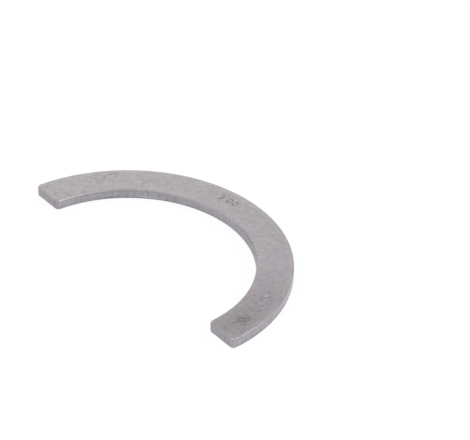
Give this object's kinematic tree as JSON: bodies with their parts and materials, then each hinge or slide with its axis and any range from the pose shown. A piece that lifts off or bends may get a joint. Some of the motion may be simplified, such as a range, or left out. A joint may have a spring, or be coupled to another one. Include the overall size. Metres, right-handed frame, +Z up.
{
  "type": "half-ring shim",
  "caption": "Flat steel half-ring shim, one half of a split ring, with rounded corners and softened edges.",
  "frame": {"origin": "middle of the ring's bounding box, at the height of its lower face", "axes": "+Z up through the thickness, +X from end to end, +Y from the open side to the crown of the arc"},
  "size_m": [0.088, 0.0434, 0.003],
  "materials": {
    "steel": "blanked and tumbled, matt grey, with fine pits and a few dark rubs"
  },
  "bodies": {
    "root": {"half_ring": "steel"}
  },
  "joints": []
}
